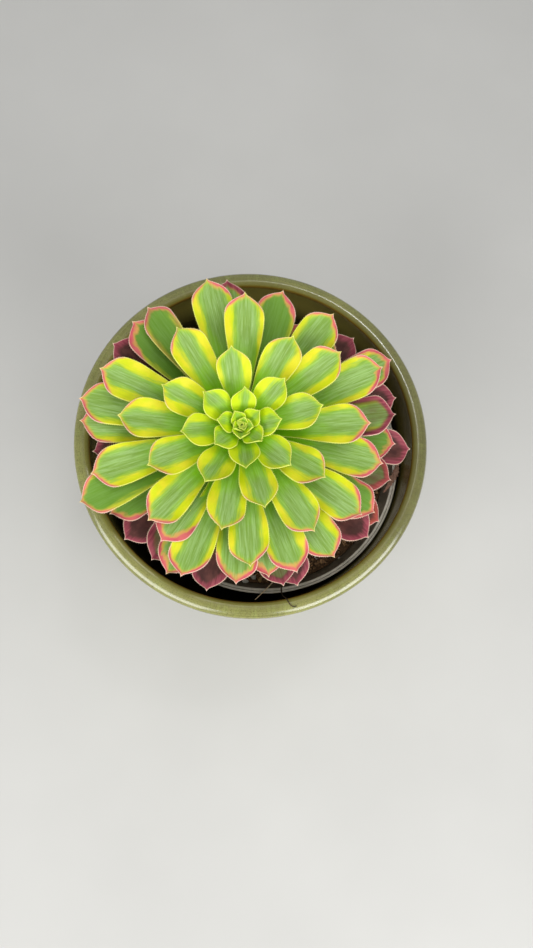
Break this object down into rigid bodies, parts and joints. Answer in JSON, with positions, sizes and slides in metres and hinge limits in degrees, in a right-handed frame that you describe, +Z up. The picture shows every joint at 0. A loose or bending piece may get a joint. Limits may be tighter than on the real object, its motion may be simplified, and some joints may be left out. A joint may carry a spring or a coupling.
{
  "type": "potted aeonium",
  "caption": "Variegated aeonium rosette on a short woody stem, in a plastic nursery pot inside a round glazed cachepot.",
  "frame": {"origin": "centre of the cachepot's foot, on the surface that it stands on", "axes": "+Z up along the cachepot's axis; -Y towards the viewer of the picture, where the rosette leans slightly"},
  "size_m": [0.151, 0.151, 0.1687],
  "materials": {
    "glaze": "glossy speckled olive green glaze",
    "nursery_plastic": "thin taupe plastic, satin",
    "potting_soil": "loose peat and bark potting mix with perlite",
    "bark": "dull woody bark with leaf scars",
    "maroon_leaf": "fleshy leaf, dull sheen",
    "green_leaf": "fleshy variegated leaf, dull sheen"
  },
  "bodies": {
    "root": {"cachepot": "glaze", "nursery_pot": "nursery_plastic", "soil": "potting_soil", "stem": "bark", "old_leaves": "maroon_leaf", "rosette": "green_leaf"}
  },
  "joints": []
}
